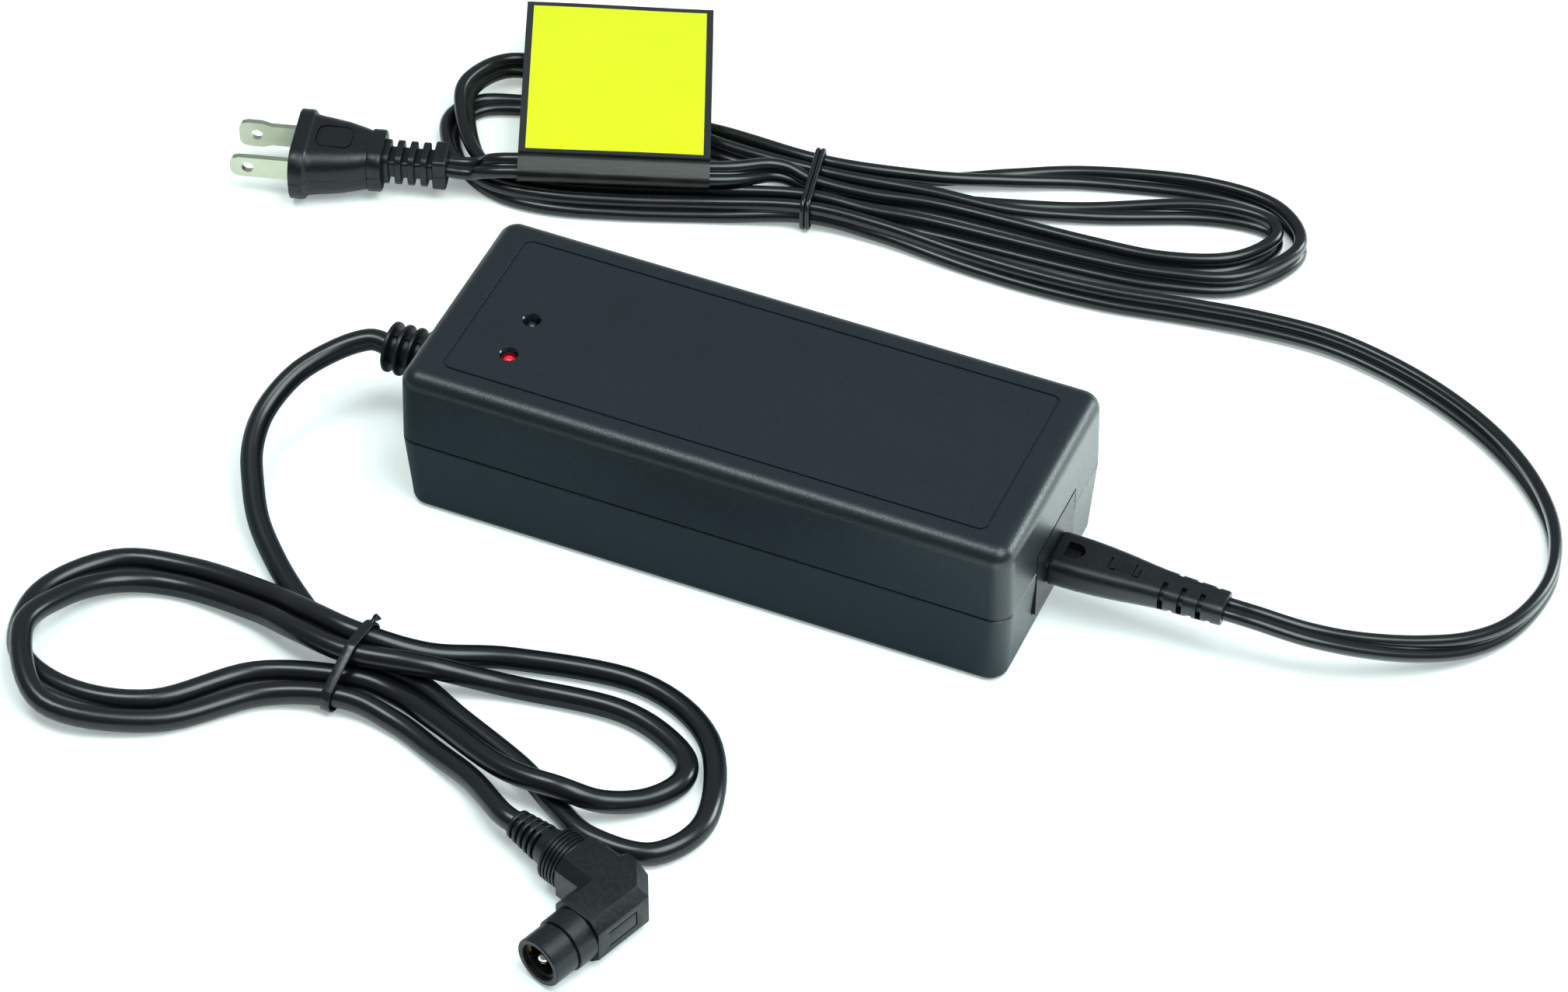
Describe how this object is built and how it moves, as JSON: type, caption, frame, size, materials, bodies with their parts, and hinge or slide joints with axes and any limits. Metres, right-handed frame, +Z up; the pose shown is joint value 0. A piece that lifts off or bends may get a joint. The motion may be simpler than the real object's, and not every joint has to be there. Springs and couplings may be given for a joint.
{
  "type": "battery charger",
  "caption": "Mains battery charger: moulded case with indicator lamps, coiled low-voltage lead with an elbow plug, and a detachable mains cord with a tag.",
  "frame": {"origin": "middle of the underside of the case, on the table", "axes": "+X along the case from the output end to the mains inlet, +Y to the back, +Z up"},
  "size_m": [0.361, 0.3185, 0.0432],
  "materials": {
    "case": "fine matte texture",
    "connector_black": "satin",
    "plug_black": "satin",
    "cable": "soft gloss",
    "tie": "soft gloss",
    "screw_steel": "zinc plated",
    "board": "bare laminate",
    "lamp_red": "lit lens",
    "lamp_clear": "clear lens",
    "nickel": "bright nickel",
    "blade_nickel": "satin nickel",
    "contact_brass": "bright",
    "ferrite": "ground ferrite",
    "winding_tape": "polyester tape",
    "choke_green": "powder coated core",
    "film_capacitor": "moulded box",
    "fuse_glass": "clear tube",
    "capacitor_sleeve": "shrink sleeve",
    "sink": "mill finish",
    "device": "moulded epoxy",
    "liner": "satin",
    "tag_yellow": "printed film",
    "tag_tape": "clear tape over black film"
  },
  "bodies": {
    "charger": {"upper_case": "case", "lower_case": "case", "case_screws": "screw_steel", "circuit_board": "board", "lamp_board": "board", "charge_lamp": "lamp_red", "power_lamp": "lamp_clear", "inlet_housing": "connector_black", "inlet_pins": "nickel", "transformer_core": "ferrite", "transformer_winding": "winding_tape", "line_choke": "choke_green", "line_capacitor": "film_capacitor", "fuse": "fuse_glass", "bulk_capacitor": "capacitor_sleeve", "mains_heatsink": "sink", "power_transistor": "device", "output_heatsink": "sink", "output_rectifier": "device", "output_capacitors": "capacitor_sleeve", "output_gland": "connector_black", "dc_lead": "cable", "dc_hank": "cable", "dc_tail": "cable", "dc_tie": "tie", "elbow_body": "connector_black", "barrel_liner": "liner", "centre_pin": "nickel", "side_contacts": "contact_brass"},
    "cordset": {"connector_body": "connector_black", "connector_contacts": "contact_brass", "ac_lead": "cable", "ac_hank": "cable", "ac_tail": "cable", "ac_tie": "tie", "mains_plug": "plug_black", "plug_blades": "blade_nickel", "tag_sleeve": "tag_tape", "tag": "tag_yellow"}
  },
  "joints": [
    {"name": "connector_slide", "type": "slide", "parent": "charger", "child": "cordset", "axis": [1, 0, 0], "range_m": [0, 0.016]}
  ]
}
